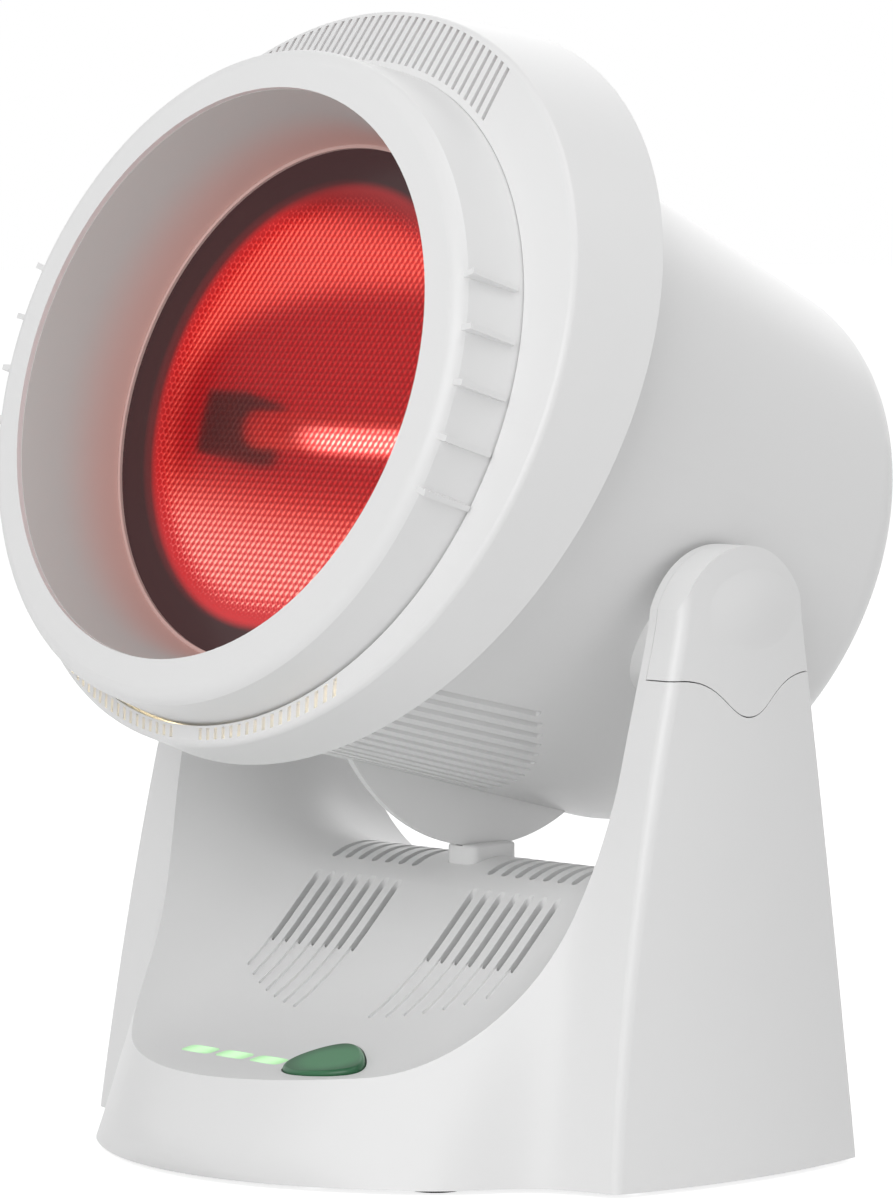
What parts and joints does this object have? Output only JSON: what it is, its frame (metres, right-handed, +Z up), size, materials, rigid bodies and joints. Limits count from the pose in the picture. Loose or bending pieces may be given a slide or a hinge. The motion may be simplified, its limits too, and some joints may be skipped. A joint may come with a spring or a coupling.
{
  "type": "infrared heat therapy lamp",
  "caption": "Table heat lamp: a drum-shaped head with a red filter in a flared visor tilts between the arms of a forked base with a push button and lit time windows.",
  "frame": {"origin": "the point of the table under the middle of the tilt axis; the floor of the underside's label recess lies 1.7 mm above it", "axes": "+Z up from the table, -Y the way the head and the controls face, +X to the viewer's right seen from the front; the tilt axis runs along X at y = 0, z = 133.7 mm"},
  "size_m": [0.2078, 0.2149, 0.2911],
  "materials": {
    "housing_white": "satin white moulded plastic",
    "visor_grey": "fine matt warm grey",
    "plate_grey": "matt",
    "foot_rubber": "matt",
    "sheet_steel": "plain zinc-plated sheet",
    "screw_steel": "plain turned steel",
    "button_green": "satin",
    "window_clear": "pale green diffusing light guide",
    "board_green": "solder resist",
    "component_black": "matt",
    "bush_white": "natural acetal",
    "gland_grey": "matt",
    "filter_red": "deep red glass-ceramic with a fine dimpled back",
    "seal_silicone": "dark red, slightly glossy",
    "reflector_aluminium": "bright hammered",
    "quartz_tube": "clear quartz",
    "holder_ceramic": "unglazed ceramic",
    "terminal_white": "matt"
  },
  "bodies": {
    "base": {"base_shell": "housing_white", "bottom_plate": "plate_grey", "rubber_feet": "foot_rubber", "ballast_plate": "sheet_steel", "base_screws": "screw_steel", "cap_right": "housing_white", "cap_left": "housing_white", "led_window": "window_clear", "control_board": "board_green", "board_posts": "plate_grey", "board_parts": "component_black", "guide_block": "housing_white", "pivot_bush_right": "bush_white", "pivot_bush_left": "bush_white", "cable_gland": "gland_grey", "button_spring": "screw_steel"},
    "head": {"front_ring": "housing_white", "visor_liner": "visor_grey", "filter_glass": "filter_red", "glass_seal": "seal_silicone", "head_ring": "housing_white", "rear_housing": "housing_white", "tilt_sector": "housing_white", "head_screws": "screw_steel", "reflector": "reflector_aluminium", "halogen_tube": "quartz_tube", "lamp_holder_right": "holder_ceramic", "lamp_holder_left": "holder_ceramic", "reflector_bracket": "sheet_steel", "thermal_cutout": "component_black", "terminal_block": "terminal_white", "pivot_shaft_right": "screw_steel", "pivot_shaft_left": "screw_steel", "friction_washer_right": "screw_steel", "friction_washer_left": "screw_steel", "pivot_nuts": "screw_steel"},
    "button": {"start_button": "button_green"}
  },
  "joints": [
    {"name": "head_tilt", "type": "hinge", "parent": "base", "child": "head", "pos_m": [0, 0, 0.1337], "axis": [-1, 0, 0], "range_deg": [-16.8, 16.8]},
    {"name": "start_press", "type": "slide", "parent": "base", "child": "button", "axis": [0, 0.2003, -0.9797], "range_m": [0, 0.001], "stiffness_N_per_m": 800, "springref_m": -0.0005, "deforming": ["button_spring"]}
  ]
}
